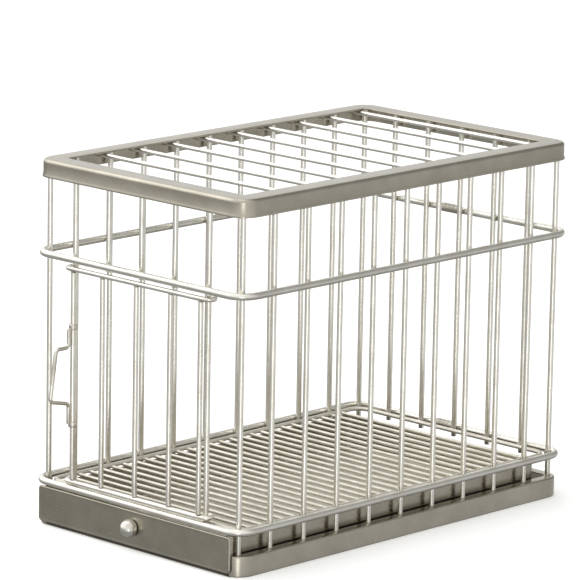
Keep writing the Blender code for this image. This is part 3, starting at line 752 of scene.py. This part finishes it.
def makePan():
    d = drawer
    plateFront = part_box("drawer_front")[0].y
    front = plateFront + d["plateThick"] + d["gap"]
    centreY, halfY = (front + d["back"]) / 2, (d["back"] - front) / 2
    r, foot, top, wall, hem = d["footRound"], d["foot"], d["top"], d["wall"], d["hem"]
    section = [(r - r * math.sin(a), foot + r - r * math.cos(a)) for a in
               (math.radians(degrees) for degrees in range(0, 91, 15))]
    section += [(0, foot + (top - foot) * step / 4) for step in (1, 2, 3)]
    section += [(hem / 2 - hem / 2 * math.cos(a), top - hem / 2 + hem / 2 * math.sin(a)) for a in
                (math.radians(degrees) for degrees in range(0, 181, 20))]
    section += [(hem, top - d["hemHeight"]), (wall, top - d["hemHeight"] - d["gap"])]
    section += [(wall + r - r * math.cos(a), foot + wall + r - r * math.sin(a)) for a in
                (math.radians(degrees) for degrees in range(0, 91, 15))]
    rings = []
    for inset, z in section:
        radius = max(d["corner"] - inset, 0.001)
        rings.append(roundedLoop(d["halfWidth"] - inset, halfY - inset, radius, z, centreY, 8, 16))
    wave = d["rippleSize"], d["rippleDepth"], d["rippleSeed"]
    rings = [[ripple(point, *wave) for point in ring] for ring in rings]
    piece = gridShell("drawerPan", rings, capAxes=(1, 0), lengthDownRows=False)
    # painted light: the up-facing faces of the tray floor get the brighter finish, standing for light through
    # the grille
    piece.data.materials.append(drawerFinish)
    piece.data.materials.append(trayFloorPaintedLightFinish)
    for face in piece.data.polygons:
        face.material_index = int(face.normal.z > 0.5 and face.center.z < d["foot"] + 2 * r)
    return settle(piece, drawerFinish, "drawer", ["drawer_pan"])


plate = {"backEdge": 0.0006, "backRound": 0.0004, "cornerLeast": 0.0008,
         "face": ((0.0012, 0.00035), (0.0026, 0.0003))}  # inset past the roll, depth of the flat face


# The front plate: a flat sheet whose four edges are rolled back
def makePlate():
    d = drawer
    low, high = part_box("drawer_front")
    middle = (low.z + high.z) / 2
    halfHeight, roll = (high.z - low.z) / 2, d["plateRoll"]
    section = [(plate["backEdge"], high.y), (0, high.y - plate["backRound"])]
    section += [(roll - roll * math.cos(a), low.y + roll - roll * math.sin(a)) for a in
                (math.radians(degrees) for degrees in range(0, 91, 15))]
    section += [(roll + inset, low.y + depth) for inset, depth in plate["face"]]
    rings = []
    for inset, y in section:
        radius = max(d["plateCorner"] - inset, plate["cornerLeast"])
        loop = roundedLoop(d["plateHalf"] - inset, halfHeight - inset, radius, 0, middle, 8, 16)
        rings.append([Vector((point.x, y, point.y)) for point in loop])
    piece = gridShell("drawerPlate", rings, capAxes=(0, 2), lengthDownRows=False)
    return settle(piece, drawerFinish, "drawer", ["drawer_front"])


knobShape = {"radius": 0.0117, "centreOut": 0.0055, "collar": 0.0075, "collarHeight": 0.001, "stud": 0.0022,
             "headRadius": 0.0046, "head": 0.0014}


def makeKnob():
    k, d = knobShape, drawer
    centre = centreOf("drawer_knob")
    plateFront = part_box("drawer_front")[0].y
    inside = -(d["plateThick"] + d["gap"] + d["wall"] + d["gap"])
    start = -math.degrees(math.asin((k["centreOut"] - k["collarHeight"]) / k["radius"]))
    profile = [(inside - k["head"], 0)]
    profile += [(inside - k["head"] * math.cos(a), k["headRadius"] * (0.55 + 0.45 * math.sin(a))) for a in
                (math.radians(degrees) for degrees in range(0, 91, 18))]
    profile += [(inside, k["stud"]), (d["gap"], k["stud"]), (d["gap"], k["collar"]),
                (k["collarHeight"], k["collar"])]
    profile += [(k["centreOut"] + along, across) for across, along in
                arcPoints((0, 0), k["radius"], start, 86, 16)]
    profile.append((k["centreOut"] + k["radius"], 0))
    place = (centre.x, plateFront, centre.z)
    piece = turnedShell("drawerKnob", profile, place, (0, -1, 0), (0, 0, 1), steps=48)
    return settle(piece, knobFinish, "drawer", ["drawer_knob"])


makePan()
makePlate()
makeKnob()
print("drawer folded")

# Half sizes of the flattened weld metal
weldSize = {"crossing": 0.004, "thickness": 0.0016, "foot": 0.005, "grille": 0.003, "roof": 0.0034,
            "unevenness": 0.2, "near": 0.006, "roofPlaces": (0.004, 0.016)}


# The guide for the weld tree: (place, facing, width) for each weld
def makeWelds(name, welds, body):
    guide = bpy.data.meshes.new(name)
    guide.from_pydata([place for place, facing, width in welds], [], [])
    flat = [value for place, facing, width in welds for value in facing]
    guide.attributes.new("facing", "FLOAT_VECTOR", "POINT").data.foreach_set("vector", flat)
    widths = [width for place, facing, width in welds]
    guide.attributes.new("width", "FLOAT", "POINT").data.foreach_set("value", widths)
    piece = grow(name, guide, weldTree, {
        "Thickness": weldSize["thickness"], "Unevenness": weldSize["unevenness"], "Seed": 5,
        "Finish": weldFinish})
    return settle(piece, weldFinish, body)


# The way out of the cage at an upright, square to its wall or across its corner
def outwardAt(place):
    out = Vector((0, 0, 0))
    if abs(abs(place.x) - barLineX) < weldSize["near"]:
        out.x = math.copysign(1, place.x)
    if abs(place.y - frontY) < weldSize["near"]:
        out.y = -1
    if abs(place.y - backY) < weldSize["near"]:
        out.y = 1
    return out.normalized()


def cageWelds():
    w = weldSize
    up = Vector((0, 0, 1))
    welds = []
    for nodes in rows.values():
        for node in nodes:
            low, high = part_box(node)
            place = centreOf(node)
            out = outwardAt(place)
            for hoop in ("mid_hoop", "floor_hoop"):
                if low.z < hoopZ[hoop] < high.z:
                    spot = place + out * (gauge["bar"] + 0.00015)
                    welds.append((Vector((spot.x, spot.y, hoopZ[hoop])), out, w["crossing"]))
            if low.z < pressing["baseTop"] + 0.001:
                welds.append((Vector((place.x, place.y, pressing["baseTop"])), up, w["foot"]))
            if low.z < hoopZ["floor_hoop"]:
                spot = place - out * (gauge["bar"] + 0.00025)
                welds.append((Vector((spot.x, spot.y, hoopZ["floor_hoop"])), out, w["crossing"] * 0.9))
            welds.append((Vector((place.x, place.y, topZ - pressing["topSheet"])), up, w["foot"]))
    for node in roofNodes:
        low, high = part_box(node)
        y = centreOf(node).y
        ends = [low.x + inset for inset in w["roofPlaces"]]
        ends += [high.x - inset for inset in reversed(w["roofPlaces"])]
        for x in ends:
            welds.append((Vector((x, y, topZ - pressing["topSheet"])), up, w["roof"]))
    for number in range(grille["count"]):
        y = frontY + grille["first"] + number * grille["pitch"]
        for side in (-1, 1):
            welds.append((Vector((side * halfGrille, y, crossZ + 0.0012)), up, w["grille"]))
    return welds


def doorWelds():
    welds = []
    for node in doorBars:
        low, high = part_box(node)
        place = centreOf(node)
        for z in (low.z, high.z):
            welds.append((Vector((place.x, place.y, z)), Vector((0, 0, 1)), weldSize["crossing"]))
    return welds


makeWelds("cageWelds", cageWelds(), "cage")
makeWelds("doorWelds", doorWelds(), "door")
print("welds made")

cameraView = {"azimuth": 43.98, "elevation": 12.447, "roll": 1.0385, "distance": 6.0165, "lens": 285.12,
              "aim": (0, -0.01111, 0.3)}
studio = {"floorSize": 40, "floorTone": "#f4f4f2", "floorGlow": 0.28, "strength": 4,
          "deep": {-180: 0.33, -90: 0.36, 0: 0.4, 90: 0.34, 180: 0.33},
          "below": {-180: 0.5, -120: 0.34, -90: 0.45, -45: 0.58, -10: 0.9, 0: 4, 10: 0.95, 50: 0.8, 92: 0.66,
                    130: 0.66, 180: 0.5},
          "above": {-180: 1.0, -160: 1.25, -116: 1.5, -80: 1.3, -25: 1.1, 0: 1.15, 50: 0.9, 85: 0.6,
                    105: 0.36, 156: 0.36, 180: 1.0},
          "bands": (("below", -0.5, -0.3), ("above", -0.12, 0.15))}


def makeFloor():
    bpy.ops.mesh.primitive_plane_add(size=studio["floorSize"], location=(0, 0, -0.0002))
    floor = bpy.context.object
    floor.name = "studioFloor"
    material = bpy.data.materials.new("paleStudioFloor")
    material.use_nodes = True
    shader = material.node_tree.nodes["Principled BSDF"]
    shader.inputs["Base Color"].default_value = paint(studio["floorTone"])
    shader.inputs["Roughness"].default_value = 0.9
    shader.inputs["Emission Color"].default_value = (1, 1, 1, 1)
    shader.inputs["Emission Strength"].default_value = studio["floorGlow"]
    floor.data.materials.append(material)
    floor.visible_glossy = False


# A room in tones by the way one looks, in degrees to the right of the camera as seen from the cage.
# It is brightest high up on one side, dim on the other and low down, with a narrow bright gap at the
# camera that lights the rounded corners of the sheets.
def makeWorld():
    world = bpy.data.worlds.new("studioRoom")
    world.use_nodes = True
    bpy.context.scene.world = world
    tree = world.node_tree
    background = tree.nodes["Background"]
    background.inputs["Strength"].default_value = studio["strength"]
    way = addNode(tree, "ShaderNodeTexCoord")
    a = math.radians(cameraView["azimuth"])
    parts = []
    for axis in ((math.cos(a), math.sin(a), 0), (math.sin(a), -math.cos(a), 0)):
        part = addNode(tree, "ShaderNodeVectorMath", {0: way.outputs["Generated"], 1: axis},
                       operation="DOT_PRODUCT")
        parts.append(part.outputs["Value"])
    bearing = addNode(tree, "ShaderNodeMath", {0: parts[0], 1: parts[1]}, operation="ARCTAN2")
    share = addNode(tree, "ShaderNodeMapRange", {
        "Value": bearing.outputs["Value"], "From Min": -math.pi, "From Max": math.pi, "To Min": 0,
        "To Max": 1})
    tones = {}
    for name in ("deep", "below", "above"):
        tone = addNode(tree, "ShaderNodeValToRGB", {"Fac": share.outputs["Result"]})
        levels = studio[name]
        for place in list(levels)[1:-1]:
            tone.color_ramp.elements.new((place + 180) / 360)
        for stop, (place, value) in zip(tone.color_ramp.elements, levels.items()):
            stop.position = (place + 180) / 360
            stop.color = (value / studio["strength"],) * 3 + (1,)
        tones[name] = tone.outputs["Color"]
    height = addNode(tree, "ShaderNodeSeparateXYZ", {"Vector": way.outputs["Generated"]})
    room = tones["deep"]
    for name, low, high in studio["bands"]:
        rise = addNode(tree, "ShaderNodeMapRange", {
            "Value": height.outputs["Z"], "From Min": low, "From Max": high, "To Min": 0, "To Max": 1},
            interpolation_type="SMOOTHSTEP")
        room = addNode(tree, "ShaderNodeMix", {
            "Factor": rise.outputs["Result"], 6: room, 7: tones[name]}, data_type="RGBA").outputs[2]
    tree.links.new(room, background.inputs["Color"])


# A soft panel that shines at the cage
def makePanel(name, azimuth, elevation, distance, width, height, power):
    light = bpy.data.lights.new(name, "AREA")
    light.shape = "RECTANGLE"
    light.size, light.size_y = width, height
    light.energy = power
    lamp = bpy.data.objects.new(name, light)
    bpy.context.scene.collection.objects.link(lamp)
    a, e = math.radians(azimuth), math.radians(elevation)
    toward = Vector((math.sin(a) * math.cos(e), -math.cos(a) * math.cos(e), math.sin(e)))
    lamp.location = Vector((0, 0, 0.25)) + toward * distance
    lamp.rotation_euler = toward.to_track_quat("Z", "Y").to_euler()
    lamp.visible_camera = False


def makeCamera():
    v = cameraView
    a, e, roll = (math.radians(v[key]) for key in ("azimuth", "elevation", "roll"))
    toward = Vector((math.sin(a) * math.cos(e), -math.cos(a) * math.cos(e), math.sin(e)))
    right = Vector((math.cos(a), math.sin(a), 0))
    up = toward.cross(right)
    across = right * math.cos(roll) + up * math.sin(roll)
    upright = up * math.cos(roll) - right * math.sin(roll)
    camera = bpy.data.objects.new("studioCamera", bpy.data.cameras.new("studioCamera"))
    camera.data.lens = v["lens"]
    camera.data.sensor_width = 36
    camera.data.clip_end = 60
    place = Vector(v["aim"]) + toward * v["distance"]
    turn = Matrix((across, upright, toward)).transposed().to_4x4()
    camera.matrix_world = Matrix.Translation(place) @ turn
    bpy.context.scene.collection.objects.link(camera)
    bpy.context.scene.camera = camera


makeFloor()
makeWorld()
makePanel("keyPanel", -72, 42, 3.5, 3, 1.8, 14)
makePanel("topPanel", 0, 88, 3, 2, 2, 8)
makeCamera()
bpy.context.scene.view_settings.view_transform = "Standard"
print("studio lit")
